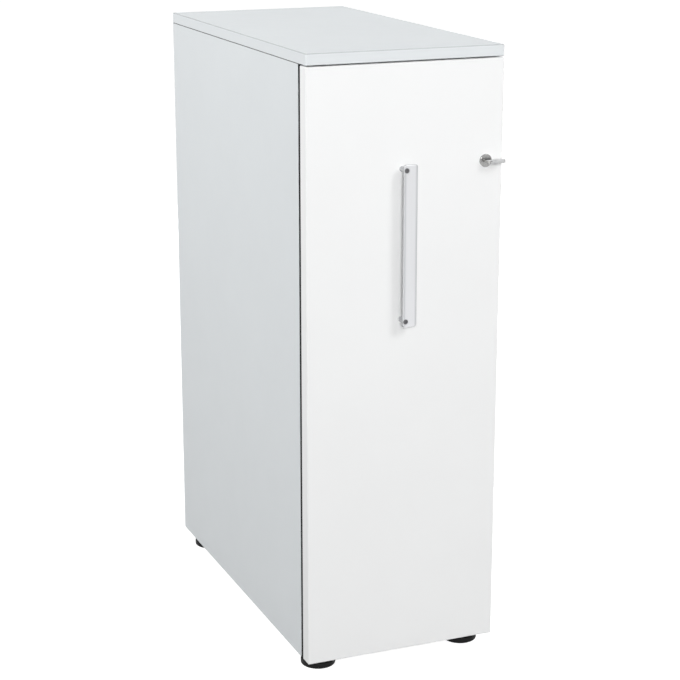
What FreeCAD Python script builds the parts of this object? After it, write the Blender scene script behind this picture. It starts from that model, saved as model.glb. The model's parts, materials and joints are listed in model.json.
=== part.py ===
import FreeCAD, Part
import math
import os

V = FreeCAD.Vector
AXIS_X = V(1, 0, 0)
AXIS_Y = V(0, 1, 0)
AXIS_Z = V(0, 0, 1)

# Cabinet body, handle not counted
WIDTH = 400.0
DEPTH = 800.0
HEIGHT = 1225.0
FOOT_H = 27.0            # floor to the underside of the carcass
SIDE_T = 19.0
TOP_T = 22.0
BASE_T = 22.0
BACK_T = 16.0
FRONT_T = 30.0
SEAL_GAP = 10.5          # back of the drawer front to the side panels
TOP_GAP = 2.5            # top of the drawer front to the top panel
BAND_R = 1.5             # rounding of the banded panel edges

# Handle, centred on the drawer front
HANDLE_L = 312.0
HANDLE_W = 28.0
HANDLE_T = 6.0
HANDLE_STAND = 18.0      # finger gap between bar and front
HANDLE_DROP = 342.5      # top of the front to the middle of the bar
HANDLE_CORNER_R = 5.0
HANDLE_EDGE_R = 1.5
POST_END = 11.0          # post axis to the end of the bar
POST_SIDE = 8.5          # post axes left of the bar's middle
POST_R = 5.0
CAP_R = 4.75             # head of the handle screws
CAP_T = 3.5
CAP_SEAT = 4.0           # head's counterbore in the bar
CAP_PLAY = 0.25
CAP_HEX = 5.0
CAP_HEX_D = 2.5

# Cylinder lock
LOCK_INSET = 35.0        # right edge of the front to the lock axis
LOCK_DROP = 193.5        # top of the front to the lock axis
COLLAR_R = 12.5
COLLAR_T = 3.0
BARREL_R = 9.0
BARREL_REAR = 20.0       # barrel length behind the front
PLUG_R = 6.0
PLUG_PROUD = 0.5         # plug ahead of the collar and behind the barrel
TANG = 7.0               # square end that carries the cam
CAM_T = 2.5
CAM_HUB_R = 8.0
CAM_TIP_R = 7.0
CAM_ARM = 14.0           # lock axis to the centre of the cam's round tip
LOCK_NUT_AF = 24.0
LOCK_NUT_T = 5.0
STRIKE_T = 1.5
STRIKE_W = 20.0
STRIKE_H = 60.0
SLOT_PLAY = 1.0          # cam to strike slot, all round
SLOT_UP = 15.0           # slot above and below the lock axis
SLOT_DOWN = 9.0
MORTISE_D = 8.0

# Folding key
BLADE_W = 8.0
BLADE_T = 2.0
BLADE_IN = 22.0          # blade length inside the plug
BLADE_PLAY = 0.15
KEYWAY_L = 23.0
KEY_REACH = 15.0         # face of the front to the fold pin
KEY_PIN_R = 1.0
BOW_L = 34.0             # fold pin to the end of the bow
BOW_W = 16.0
BOW_T = 6.0
BOW_NECK_L = 7.0         # fold pin to the wide part of the bow
BOW_NECK_W = 10.0
BOW_PLAY = 0.35          # blade to bow
BOW_EDGE_R = 1.0
RING_R = 2.2

# Levelling feet
FOOT_R = 35.0
FOOT_SIDE = 43.0         # foot centre to the side of the cabinet
FOOT_END = 58.0          # foot centre to the front face and to the back
PAD_H = 14.0
PAD_EDGE_R = 4.0
NECK_R = 14.0
STEM_R = 9.0
SOCKET_R = 13.0
SOCKET_RIM_R = 17.0
SOCKET_RIM_T = 4.0
STEM_TOP = 2.0           # stem end below the top of the base panel

# Front edge seals
SEAL_T = 10.0
SEAL_IN = 1.0            # seal inside the side panel's faces
BARB_W = 3.0
BARB_D = 6.0

# Panel fittings
CAM_R = 7.5
CAM_REACH = 34.0         # joint face to the cam's centre
CAM_OVER = 3.5           # cam depth past the bolt's axis
THREAD_R = 2.5
THREAD_L = 11.0
BOLT_R = 3.0
BOLT_BORE_R = 4.0
BOLT_HEAD_R = 3.5
BOLT_HEAD_L = 4.0
CROSS_L = 8.0
CROSS_W = 1.6
CROSS_D = 2.0
DOWEL_R = 4.0
DOWEL_L = 24.0
FIT_IN = 60.0            # fittings from the ends of a panel
DOWEL_STEP = 50.0        # dowel beside each fitting

# Telescopic runners, one each side
TRAVEL_KEEP = 20.0       # runner length less its travel
RUN_IN = 7.5             # runner behind the front edge of the side panel
RUN_REAR = 36.0          # runner to the back panel
RUN_UP = 10.0            # runner above the base panel
RUN_H = 45.0
RUN_W = 12.7
RUN_SHEET = 1.4
OUTER_W = 9.5
MIDDLE_U = 2.6           # side panel to the middle member's web
MIDDLE_W = 8.0
INNER_W = 7.3
LIP = 3.7
BALL_R = 1.75
RACE_PLAY = 0.1
CAGE_SHEET = 0.6
CAGE_PLAY = 0.3
CAGE_END = 5.0           # cage to the member's end at full travel
CAGE_BALLS = 6
CAGE_EDGE = 0.5          # cage strip past its balls
RUN_SCREWS = 3

# Pull-out frame, sheet steel
REAR_CLEAR = 24.0        # frame to the back panel
FRAME_SHEET = 1.5
TRAY_UP = 13.0           # base tray above the base panel
TRAY_RIM = 40.0
HEM = 8.0
SHELF_SHEET = 1.2
SHELF_RIM = 30.0
SHELF_SIDE = 21.0        # shelf to the side panels
SHELF_GAP = 0.5          # shelf to its clips
SLOT_PITCH = 45.0
SHELF_STEPS = 6          # slots from one shelf to the next
SHELVES = 3
UPRIGHT_LOCK = 17.0      # lock axis to an upright's outer face
UPRIGHT_W = 20.0
UPRIGHT_D = 25.0
UPRIGHT_FOOT = 3.0
FRAME_DROP = 38.0        # top panel to the top frame
FRAME_FLANGE = 25.0
WINDOW_SIDE = 53.0       # top frame's flange to its windows
WINDOW_END = 60.0
WINDOW_R = 15.0
SLOT_W = 8.0
SLOT_H = 14.0
CLIP_W = 16.0
CLIP_T = 2.0
CLIP_H = 34.0
CLIP_REACH = 20.0
CLIP_DROP = 24.0         # shelf underside to the slot's lower edge
CLIP_HOOK = 8.0
CLIP_TONGUE_H = 6.0
CLIP_PLAY = 0.2
GUARD_R = 4.0
GUARD_UP = 95.0          # guard rail above the shelf floor

# Top guide
RAIL_W = 24.0
RAIL_H = 16.0
RAIL_T = 2.0
RAIL_END = 5.5           # rail to the side panels' front edge and to the back panel
RAIL_SCREWS = 4
ROLLER_H = 9.0
ROLLER_PLAY = 0.3
ROLLER_EDGE_R = 1.0
ROLLER_END = 30.0        # guide pin to the frame's rear end
PIN_R = 3.0
PIN_PLAY = 0.05
PIN_COLLAR_R = 5.5
PIN_HEAD_T = 1.5

# Counterweight at the back of the base panel
BALLAST_SIDE = 56.0      # plate to the side panels
BALLAST_L = 330.0
BALLAST_T = 10.0
BALLAST_EDGE = 25.0      # screws from the plate's edges

# Screws, bolts and nuts
FRONT_SCREWS = 4         # in each front upright
SCREW_R = 2.0
SCREW_L = 16.0
SCREW_HEAD_R = 4.0
SCREW_HEAD_T = 2.5
CSK_R = 3.6
BOLT_M_R = 3.0
HEX_AF = 10.0
HEX_T = 4.0
NUT_T = 5.0

# Positions that follow from the sizes
HANDLE_OUT = HANDLE_STAND + HANDLE_T
Y_FACE = -(DEPTH + HANDLE_OUT) / 2 + HANDLE_OUT
Y_REAR = Y_FACE + DEPTH
Y_IN = Y_FACE + FRONT_T
Y_SIDE = Y_IN + SEAL_GAP
Y_BACK = Y_REAR - BACK_T
X_IN = WIDTH / 2 - SIDE_T
Z_TOP = HEIGHT - TOP_T
Z_FRONT = Z_TOP - TOP_GAP
Z_BASE = FOOT_H + BASE_T
Z_RUN = Z_BASE + RUN_UP + RUN_H / 2
Z_TRAY = Z_BASE + TRAY_UP + FRAME_SHEET
Z_FRAME = Z_TOP - FRAME_DROP
Y_FRAME = Y_BACK - REAR_CLEAR
Z_HANDLE = Z_FRONT - HANDLE_DROP
Z_LOCK = Z_FRONT - LOCK_DROP
X_LOCK = WIDTH / 2 - LOCK_INSET
Y_CAM = Y_IN + BARREL_REAR + PLUG_PROUD
Y_FOLD = Y_FACE - KEY_REACH
SHELF_PITCH = SLOT_PITCH * SHELF_STEPS
SHELF_HALF = X_IN - SHELF_SIDE
HANDLE_CC = HANDLE_L - 2 * POST_END
UPRIGHT_X = X_LOCK - UPRIGHT_LOCK
WINDOW_HALF = UPRIGHT_X - WINDOW_SIDE
BALLAST_HALF = X_IN - BALLAST_SIDE
Y_RUN = Y_SIDE + RUN_IN
RUN_L = Y_BACK - RUN_REAR - Y_RUN
TRAVEL = RUN_L - TRAVEL_KEEP


def box(x0, x1, y0, y1, z0, z1):
    return Part.makeBox(x1 - x0, y1 - y0, z1 - z0, V(x0, y0, z0))


def rod(start, direction, radius, length):
    return Part.makeCylinder(radius, length, start, direction)


def placed(shape, point, direction):
    shape.Placement = FreeCAD.Placement(point, FreeCAD.Rotation(AXIS_Z, direction))
    return shape


def joined(shapes):
    return shapes[0].fuse(shapes[1:]).removeSplitter()


def mirrored(shape):
    return shape.mirror(V(0, 0, 0), AXIS_X)


def pair(shapes):
    return list(shapes) + [mirrored(s) for s in shapes]


def eased(shape, radius):
    return shape.makeFillet(radius, shape.Edges)


def hexagon(across_flats, height):
    reach = across_flats / math.sqrt(3)
    turns = [math.pi / 3 * i for i in range(7)]
    wire = Part.makePolygon([V(reach * math.cos(a), reach * math.sin(a), 0) for a in turns])
    return Part.Face(wire).extrude(V(0, 0, height))


def cross_recess(z, depth):
    long_bar = box(-CROSS_L / 3, CROSS_L / 3, -CROSS_W / 2, CROSS_W / 2, z, z + depth)
    return long_bar.fuse(long_bar.rotated(V(0, 0, 0), AXIS_Z, 90))


def pan_screw(point, direction, length):
    head = rod(V(0, 0, -SCREW_HEAD_T), AXIS_Z, SCREW_HEAD_R, SCREW_HEAD_T)
    crown = [e for e in head.Edges if e.CenterOfMass.z < -SCREW_HEAD_T / 2 and e.isClosed()]
    head = head.makeFillet(SCREW_HEAD_T / 3, crown)
    head = head.cut(cross_recess(-SCREW_HEAD_T, SCREW_HEAD_T / 2))
    screw = joined([head, rod(V(0, 0, 0), AXIS_Z, SCREW_R, length)])
    return placed(screw, point, direction)


def csk_screw(point, direction, head_t, length):
    head = Part.makeCone(CSK_R, SCREW_R, head_t)
    screw = joined([head, rod(V(0, 0, head_t), AXIS_Z, SCREW_R, length - head_t)])
    screw = screw.cut(cross_recess(0, head_t / 2))
    return placed(screw, point, direction)


def csk_hole(point, direction, head_t, length):
    cone = Part.makeCone(CSK_R, SCREW_R, head_t)
    hole = joined([cone, rod(V(0, 0, head_t), AXIS_Z, SCREW_R, length - head_t)])
    return placed(hole, point, direction)


def hex_bolt(point, direction, grip):
    bolt = joined([hexagon(HEX_AF, HEX_T).translated(V(0, 0, -HEX_T)),
                   rod(V(0, 0, 0), AXIS_Z, BOLT_M_R, grip + NUT_T)])
    return placed(bolt, point, direction)


def hex_nut(point, direction, across_flats=HEX_AF, height=NUT_T, radius=BOLT_M_R):
    nut = hexagon(across_flats, height).cut(rod(V(0, 0, 0), AXIS_Z, radius, height))
    return placed(nut, point, direction)


# Panel fittings: each is (point on the joint face, way of the bolt, way into the cam's panel,
# thickness of the cam's panel)
def panel_fittings():
    found = []
    z_mid = FOOT_H + BASE_T / 2
    y_mid = Y_BACK + BACK_T / 2
    for side in (-1, 1):
        out = V(side, 0, 0)
        for y in (Y_SIDE + FIT_IN, Y_BACK - FIT_IN):
            found.append((V(side * (X_IN + SIDE_T / 2), y, Z_TOP), -AXIS_Z, out, SIDE_T))
            found.append((V(side * X_IN, y, z_mid), -out, AXIS_Z, BASE_T))
        for z in (Z_BASE + FIT_IN, Z_TOP - 2 * FIT_IN):
            found.append((V(side * X_IN, y_mid, z), -out, AXIS_Y, BACK_T))
    return found


def cam_seat(fitting):
    point, way, into, thick = fitting
    return rod(point + way * CAM_REACH - into * (thick / 2), into, CAM_R, thick / 2 + CAM_OVER)


def bolt_bore(fitting):
    point, way, into, thick = fitting
    return rod(point, way, BOLT_BORE_R, CAM_REACH + BOLT_HEAD_L)


def cam_housing(fitting):
    point, way, into, thick = fitting
    recess = placed(cross_recess(0, CROSS_D), point + way * CAM_REACH - into * (thick / 2), into)
    return cam_seat(fitting).cut([bolt_bore(fitting), recess])


def cam_bolt(fitting):
    point, way, into, thick = fitting
    thread = rod(point - way * THREAD_L, way, THREAD_R, THREAD_L)
    shank = rod(point, way, BOLT_R, CAM_REACH)
    head = rod(point + way * (CAM_REACH - BOLT_HEAD_L / 2), way, BOLT_HEAD_R, BOLT_HEAD_L)
    return joined([thread, shank, head])


def thread_bore(fitting):
    point, way, into, thick = fitting
    return rod(point - way * THREAD_L, way, THREAD_R, THREAD_L)


def panel_dowels():
    pins = []
    for point, way, into, thick in panel_fittings():
        along = AXIS_Z if into == AXIS_Y else AXIS_Y
        inward = 1 if point.dot(along) < (Z_TOP / 2 if into == AXIS_Y else 0) else -1
        start = point + along * (inward * DOWEL_STEP) - way * (DOWEL_L / 2)
        pins.append(rod(start, way, DOWEL_R, DOWEL_L))
    return pins


# Runners: u runs from the right side panel's inner face towards the middle of the cabinet
def u_box(u0, u1, y0, y1, v0, v1):
    return box(X_IN - u1, X_IN - u0, y0, y1, Z_RUN + v0, Z_RUN + v1)


def channel(u_web, u_edge, half, lip, sheet, y0, y1):
    low, high = min(u_web, u_edge), max(u_web, u_edge)
    step = math.copysign(sheet, u_edge - u_web)
    web = sorted((u_web, u_web + step))
    rim = sorted((u_edge, u_edge - step))
    parts = [u_box(web[0], web[1], y0, y1, -half, half),
             u_box(low, high, y0, y1, half - sheet, half),
             u_box(low, high, y0, y1, -half, sheet - half)]
    if lip:
        parts.append(u_box(rim[0], rim[1], y0, y1, half - lip, half))
        parts.append(u_box(rim[0], rim[1], y0, y1, -half, lip - half))
    return joined(parts)


RACE = 2 * (BALL_R + RACE_PLAY)
OUTER_HALF = RUN_H / 2
MIDDLE_HALF = OUTER_HALF - RUN_SHEET - RACE
INNER_HALF = MIDDLE_HALF - RUN_SHEET - RACE
CAGE_L = RUN_L - TRAVEL / 2 - 2 * CAGE_END
Y_CAGE = Y_RUN + TRAVEL / 4 + CAGE_END


def run_screw_ys():
    step = RUN_L / RUN_SCREWS
    return [Y_RUN + step * (i + 0.5) for i in range(RUN_SCREWS)]


def outer_screw_points():
    return [V(X_IN - RUN_SHEET, y, Z_RUN) for y in run_screw_ys()]


def inner_screw_points():
    return [V(X_IN - RUN_W - FRAME_SHEET, y, Z_RUN) for y in run_screw_ys()]


def runner_outer():
    member = channel(0, OUTER_W, OUTER_HALF, LIP, RUN_SHEET, Y_RUN, Y_RUN + RUN_L)
    return member.cut([csk_hole(p, AXIS_X, RUN_SHEET, SCREW_L) for p in outer_screw_points()])


def runner_middle():
    edge = MIDDLE_U + MIDDLE_W
    return channel(MIDDLE_U, edge, MIDDLE_HALF, LIP, RUN_SHEET, Y_RUN, Y_RUN + RUN_L)


def inner_screw_l():
    return FRAME_SHEET + 2 * RUN_SHEET


def runner_inner():
    member = channel(RUN_W, RUN_W - INNER_W, INNER_HALF, 0, RUN_SHEET, Y_RUN, Y_RUN + RUN_L)
    return member.cut([rod(p, AXIS_X, SCREW_R, inner_screw_l()) for p in inner_screw_points()])


def cage(u_web, half_in):
    row = half_in + BALL_R + RACE_PLAY
    u_ball = u_web + CAGE_SHEET + CAGE_PLAY / 2 + BALL_R
    u_edge = u_ball + BALL_R + CAGE_EDGE
    half = row + CAGE_SHEET / 2
    strip = channel(u_web, u_edge, half, 0, CAGE_SHEET, Y_CAGE, Y_CAGE + CAGE_L)
    balls = []
    pockets = []
    for i in range(CAGE_BALLS):
        y = Y_CAGE + CAGE_L * (i + 0.5) / CAGE_BALLS
        for v in (-row, row):
            centre = V(X_IN - u_ball, y, Z_RUN + v)
            balls.append(Part.makeSphere(BALL_R, centre))
            pockets.append(Part.makeSphere(BALL_R + RACE_PLAY, centre))
    return Part.makeCompound([strip.cut(pockets)] + balls)


def outer_cage():
    return cage(RUN_SHEET + CAGE_PLAY, MIDDLE_HALF)


def inner_cage():
    return cage(MIDDLE_U + RUN_SHEET + CAGE_PLAY, INNER_HALF)


# Feet and their sockets
def foot_centres():
    x = WIDTH / 2 - FOOT_SIDE
    ys = {"front": Y_FACE + FOOT_END, "back": Y_REAR - FOOT_END}
    xs = {"left": -x, "right": x}
    return {a + "_" + b: V(xs[b], ys[a], 0) for a in ys for b in xs}


def foot(centre):
    pad = rod(centre, AXIS_Z, FOOT_R, PAD_H)
    pad = pad.makeFillet(PAD_EDGE_R, [e for e in pad.Edges if e.Curve.TypeId == "Part::GeomCircle"])
    neck_top = FOOT_H - SOCKET_RIM_T
    neck = rod(centre, AXIS_Z, NECK_R, neck_top)
    stem = rod(centre, AXIS_Z, STEM_R, Z_BASE - STEM_TOP)
    recess = cross_recess(Z_BASE - STEM_TOP - CROSS_D, CROSS_D).translated(centre)
    return joined([pad, neck, stem]).cut(recess)


def socket_seat(centre):
    return rod(centre + V(0, 0, FOOT_H), AXIS_Z, SOCKET_R, BASE_T)


def foot_socket(centre):
    rim = rod(centre + V(0, 0, FOOT_H - SOCKET_RIM_T), AXIS_Z, SOCKET_RIM_R, SOCKET_RIM_T)
    bore = rod(centre, AXIS_Z, STEM_R + PIN_PLAY, Z_BASE)
    return joined([rim, socket_seat(centre)]).cut(bore)


# Lock and key
def lock_point(y):
    return V(X_LOCK, y, Z_LOCK)


def lock_housing():
    collar = rod(lock_point(Y_FACE - COLLAR_T), AXIS_Y, COLLAR_R, COLLAR_T)
    lip = [e for e in collar.Edges if e.isClosed() and e.CenterOfMass.y < Y_FACE - COLLAR_T / 2]
    collar = collar.makeFillet(COLLAR_T / 2, lip)
    barrel = rod(lock_point(Y_FACE), AXIS_Y, BARREL_R, FRONT_T + BARREL_REAR)
    bore = rod(lock_point(Y_FACE - COLLAR_T), AXIS_Y, PLUG_R + PIN_PLAY, DEPTH)
    return joined([collar, barrel]).cut(bore)


def lock_nut():
    return hex_nut(lock_point(Y_IN), AXIS_Y, LOCK_NUT_AF, LOCK_NUT_T, BARREL_R)


def cam_screw():
    return pan_screw(lock_point(Y_CAM + CAM_T), -AXIS_Y, SCREW_L)


def lock_plug():
    start = Y_FACE - COLLAR_T - PLUG_PROUD
    body = rod(lock_point(start), AXIS_Y, PLUG_R, Y_CAM - start)
    tang = box(X_LOCK - TANG / 2, X_LOCK + TANG / 2, Y_CAM, Y_CAM + CAM_T,
               Z_LOCK - TANG / 2, Z_LOCK + TANG / 2)
    w = BLADE_W / 2 + BLADE_PLAY
    t = BLADE_T / 2 + BLADE_PLAY
    keyway = box(X_LOCK - w, X_LOCK + w, start, start + KEYWAY_L, Z_LOCK - t, Z_LOCK + t)
    shank = rod(lock_point(Y_CAM + CAM_T), -AXIS_Y, SCREW_R, SCREW_L)
    return joined([body, tang]).cut([keyway, shank])


def lock_cam():
    hub = rod(lock_point(Y_CAM), AXIS_Y, CAM_HUB_R, CAM_T)
    arm = box(X_LOCK - CAM_TIP_R, X_LOCK + CAM_TIP_R, Y_CAM, Y_CAM + CAM_T, Z_LOCK, Z_LOCK + CAM_ARM)
    tip = rod(V(X_LOCK, Y_CAM, Z_LOCK + CAM_ARM), AXIS_Y, CAM_TIP_R, CAM_T)
    square = box(X_LOCK - TANG / 2, X_LOCK + TANG / 2, Y_CAM, Y_CAM + CAM_T,
                 Z_LOCK - TANG / 2, Z_LOCK + TANG / 2)
    return joined([hub, arm, tip]).cut(square)


def strike_slot(x0, x1):
    y0 = Y_CAM - SLOT_PLAY
    y1 = Y_CAM + CAM_T + SLOT_PLAY
    return box(x0, x1, y0, y1, Z_LOCK - SLOT_DOWN, Z_LOCK + SLOT_UP)


def strike_seat():
    y = Y_CAM + CAM_T / 2
    z = Z_LOCK + (SLOT_UP - SLOT_DOWN) / 2
    return box(X_IN, X_IN + STRIKE_T, y - STRIKE_W / 2, y + STRIKE_W / 2,
               z - STRIKE_H / 2, z + STRIKE_H / 2)


def strike_points():
    y = Y_CAM + CAM_T / 2
    z = Z_LOCK + (SLOT_UP - SLOT_DOWN) / 2
    reach = STRIKE_H / 2 - SCREW_HEAD_R - STRIKE_T
    return [V(X_IN, y, z - reach), V(X_IN, y, z + reach)]


def strike_plate():
    holes = [csk_hole(p, AXIS_X, STRIKE_T, SCREW_L) for p in strike_points()]
    return strike_seat().cut(holes + [strike_slot(X_IN, X_IN + STRIKE_T)])


def key_blade():
    start = Y_FACE - COLLAR_T - PLUG_PROUD
    blade = box(X_LOCK - BLADE_W / 2, X_LOCK + BLADE_W / 2, Y_FOLD, start + BLADE_IN,
                Z_LOCK - BLADE_T / 2, Z_LOCK + BLADE_T / 2)
    eye = rod(V(X_LOCK, Y_FOLD, Z_LOCK - BLADE_T / 2), AXIS_Z, BLADE_W / 2, BLADE_T)
    return joined([blade, eye]).cut(key_pin())


def key_pin():
    return rod(V(X_LOCK, Y_FOLD, Z_LOCK - BOW_T / 2), AXIS_Z, KEY_PIN_R, BOW_T)


def bow_outline(z0):
    half = BOW_W / 2
    neck = BOW_NECK_W / 2
    first = X_LOCK + BOW_NECK_L + half
    last = X_LOCK + BOW_L - half
    parts = [box(X_LOCK, first, Y_FOLD - neck, Y_FOLD + neck, z0, z0 + BOW_T),
             box(first, last, Y_FOLD - half, Y_FOLD + half, z0, z0 + BOW_T),
             rod(V(X_LOCK, Y_FOLD, z0), AXIS_Z, neck, BOW_T)]
    parts += [rod(V(x, Y_FOLD, z0), AXIS_Z, half, BOW_T) for x in (first, last)]
    return joined(parts)


def key_bow():
    z0 = Z_LOCK - BOW_T / 2
    bow = bow_outline(z0)
    bow = bow.makeFillet(BOW_EDGE_R, [e for e in bow.Edges if abs(e.CenterOfMass.z - Z_LOCK) > BOW_T / 3])
    gap = BLADE_T / 2 + BLADE_PLAY
    fork = box(X_LOCK - BOW_W, X_LOCK + BLADE_W / 2 + BOW_PLAY, Y_FOLD - BOW_W, Y_FOLD + BOW_W,
               Z_LOCK - gap, Z_LOCK + gap)
    ring = rod(V(X_LOCK + BOW_L - BOW_W / 2, Y_FOLD, z0), AXIS_Z, RING_R, BOW_T)
    hole = rod(V(X_LOCK, Y_FOLD, z0), AXIS_Z, KEY_PIN_R + PIN_PLAY, BOW_T)
    return bow.cut([fork, ring, hole])


# Drawer front and handle
def post_points():
    return [V(-POST_SIDE, Y_FACE, Z_HANDLE + s * HANDLE_CC / 2) for s in (-1, 1)]


# From a point on the front's face out to the seat of the screw's head
def cap_seat(point):
    return point - AXIS_Y * (HANDLE_OUT - CAP_SEAT)


def handle_shanks():
    length = FRONT_T + HANDLE_OUT - CAP_SEAT + NUT_T
    return [rod(cap_seat(p), AXIS_Y, SCREW_R, length) for p in post_points()]


def cap_screw(point):
    head = rod(V(0, 0, -CAP_T), AXIS_Z, CAP_R, CAP_T)
    rim = [e for e in head.Edges if e.isClosed() and e.CenterOfMass.z < -CAP_T / 2]
    head = head.makeFillet(CAP_PLAY, rim).cut(hexagon(CAP_HEX, CAP_HEX_D).translated(V(0, 0, -CAP_T)))
    shank = rod(V(0, 0, 0), AXIS_Z, SCREW_R, FRONT_T + HANDLE_OUT - CAP_SEAT + NUT_T)
    return placed(joined([head, shank]), cap_seat(point), AXIS_Y)


def handle_screws():
    nuts = [hex_nut(p + AXIS_Y * FRONT_T, AXIS_Y, HEX_AF, NUT_T, SCREW_R) for p in post_points()]
    return [cap_screw(p) for p in post_points()] + nuts


def handle_posts():
    return [rod(p, -AXIS_Y, POST_R, HANDLE_STAND).cut(handle_shanks()) for p in post_points()]


def handle_bar():
    y1 = Y_FACE - HANDLE_STAND
    bar = box(-HANDLE_W / 2, HANDLE_W / 2, y1 - HANDLE_T, y1,
              Z_HANDLE - HANDLE_L / 2, Z_HANDLE + HANDLE_L / 2)
    bar = bar.makeFillet(HANDLE_CORNER_R, [e for e in bar.Edges if abs(e.tangentAt(0).y) > 0.5])
    bar = bar.makeFillet(HANDLE_EDGE_R, [e for e in bar.Edges if abs(e.tangentAt(0).y) < 0.5])
    seats = [rod(cap_seat(p), -AXIS_Y, CAP_R + CAP_PLAY, CAP_SEAT) for p in post_points()]
    return bar.cut(handle_shanks() + seats)


def front_screw_points():
    x = UPRIGHT_X - UPRIGHT_W / 2
    step = (Z_FRAME - Z_TRAY) / FRONT_SCREWS
    zs = [Z_TRAY + step * (i + 0.5) for i in range(FRONT_SCREWS)]
    return [V(side * x, Y_IN + FRAME_SHEET, z) for side in (-1, 1) for z in zs]


def drawer_front():
    panel = box(-WIDTH / 2, WIDTH / 2, Y_FACE, Y_IN, FOOT_H, Z_FRONT)
    panel = eased(panel, BAND_R)
    pilots = [rod(p, -AXIS_Y, SCREW_R, SCREW_L) for p in front_screw_points()]
    lock_hole = rod(lock_point(Y_FACE), AXIS_Y, BARREL_R, FRONT_T)
    return panel.cut(handle_shanks() + pilots + [lock_hole])


# Pull-out frame
def tray(half, y0, y1, floor, sheet, rim, front_rim):
    outer = box(-half, half, y0, y1, floor - sheet, floor + rim)
    y_open = y0 + sheet if front_rim else y0
    pan = outer.cut(box(sheet - half, half - sheet, y_open, y1 - sheet, floor, floor + rim))
    top = floor + rim
    hems = pair([box(half - HEM, half, y0, y1, top - sheet, top)])
    return joined([pan] + hems)


def upright_ys(end):
    if end == "front":
        return Y_IN, Y_IN + UPRIGHT_D, Y_IN + UPRIGHT_D
    back = Y_FRAME - FRAME_SHEET
    return back - UPRIGHT_D, back, back - UPRIGHT_D


def slot_zs():
    first = Z_TRAY - SHELF_SHEET - CLIP_DROP + SLOT_PITCH
    count = int((Z_FRAME - FRAME_FLANGE - SLOT_H - first) / SLOT_PITCH) + 1
    return [first + SLOT_PITCH * i for i in range(count)]


def upright(end):
    y0, y1, face = upright_ys(end)
    x0 = UPRIGHT_X - UPRIGHT_W
    s = FRAME_SHEET
    parts = [box(UPRIGHT_X - s, UPRIGHT_X, y0, y1, Z_TRAY, Z_FRAME),
             box(x0, UPRIGHT_X, y0, y0 + s, Z_TRAY, Z_FRAME),
             box(x0, UPRIGHT_X, y1 - s, y1, Z_TRAY, Z_FRAME),
             box(x0, UPRIGHT_X, y0, y1, Z_TRAY, Z_TRAY + UPRIGHT_FOOT)]
    x = UPRIGHT_X - UPRIGHT_W / 2
    slots = [box(x - SLOT_W / 2, x + SLOT_W / 2, face - 2 * s, face + 2 * s, z, z + SLOT_H)
             for z in slot_zs()]
    bores = [rod(p, -AXIS_Y, SCREW_R, SCREW_L) for p in front_screw_points()]
    bores += [rod(p, d, BOLT_M_R, g) for p, d, g in frame_bolt_places()]
    return joined(parts).cut(slots + bores)


# Each is (underside of the head, way of the bolt, thickness held)
def frame_bolt_places():
    places = []
    x = UPRIGHT_X - UPRIGHT_W / 2
    for end in ("front", "rear"):
        y0, y1, face = upright_ys(end)
        y = (y0 + y1) / 2
        places.append((V(x, y, Z_TRAY - FRAME_SHEET), AXIS_Z, FRAME_SHEET + UPRIGHT_FOOT))
        top = V(UPRIGHT_X + FRAME_SHEET, y, Z_FRAME - FRAME_FLANGE / 2)
        places.append((top, -AXIS_X, 2 * FRAME_SHEET))
    return places


def frame_bolts():
    solids = []
    for p, d, grip in frame_bolt_places():
        solids.append(hex_bolt(p, d, grip))
        solids.append(hex_nut(p + d * grip, d))
    return pair(solids)


def frame_bolt_bores():
    return pair([rod(p, d, BOLT_M_R, g) for p, d, g in frame_bolt_places()])


def base_tray():
    half = X_IN - RUN_W
    pan = tray(half, Y_IN, Y_FRAME, Z_TRAY, FRAME_SHEET, TRAY_RIM, False)
    bores = pair([rod(p, AXIS_X, SCREW_R, SCREW_L) for p in inner_screw_points()])
    return pan.cut(bores + frame_bolt_bores())


def shelf_z(level):
    return Z_TRAY + SHELF_PITCH * level


def shelf(level):
    y0 = upright_ys("front")[2] + CLIP_T + SHELF_GAP
    y1 = upright_ys("rear")[2] - CLIP_T - SHELF_GAP
    return tray(SHELF_HALF, y0, y1, shelf_z(level), SHELF_SHEET, SHELF_RIM, True)


def clip(end, level):
    face = upright_ys(end)[2]
    d = 1 if end == "front" else -1
    x = UPRIGHT_X - UPRIGHT_W / 2
    top = shelf_z(level) - SHELF_SHEET
    slot = top - CLIP_DROP
    back = face - d * (FRAME_SHEET + CLIP_T)
    tongue = SLOT_W / 2 - CLIP_PLAY

    def bar(half, y_a, y_b, z0, z1):
        return box(x - half, x + half, min(y_a, y_b), max(y_a, y_b), z0, z1)

    return joined([bar(CLIP_W / 2, face, face + d * CLIP_T, top - CLIP_H, top),
                   bar(CLIP_W / 2, face, face + d * CLIP_REACH, top - CLIP_T, top),
                   bar(tongue, face, back, slot, slot + CLIP_TONGUE_H),
                   bar(tongue, back, face - d * FRAME_SHEET, slot - CLIP_HOOK, slot + CLIP_TONGUE_H)])


def shelf_clips():
    levels = range(1, SHELVES + 1)
    return pair([clip(end, level) for end in ("front", "rear") for level in levels])


def guard_rails():
    y0 = upright_ys("front")[2]
    y1 = upright_ys("rear")[2]
    x = UPRIGHT_X - UPRIGHT_W / 2
    zs = [shelf_z(level) + GUARD_UP for level in range(SHELVES + 1)]
    return pair([rod(V(x, y0, z), AXIS_Y, GUARD_R, y1 - y0) for z in zs])


def window(y0, y1):
    hole = box(-WINDOW_HALF, WINDOW_HALF, y0, y1, Z_FRAME, Z_FRAME + FRAME_SHEET)
    return hole.makeFillet(WINDOW_R, [e for e in hole.Edges if abs(e.tangentAt(0).z) > 0.5])


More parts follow.
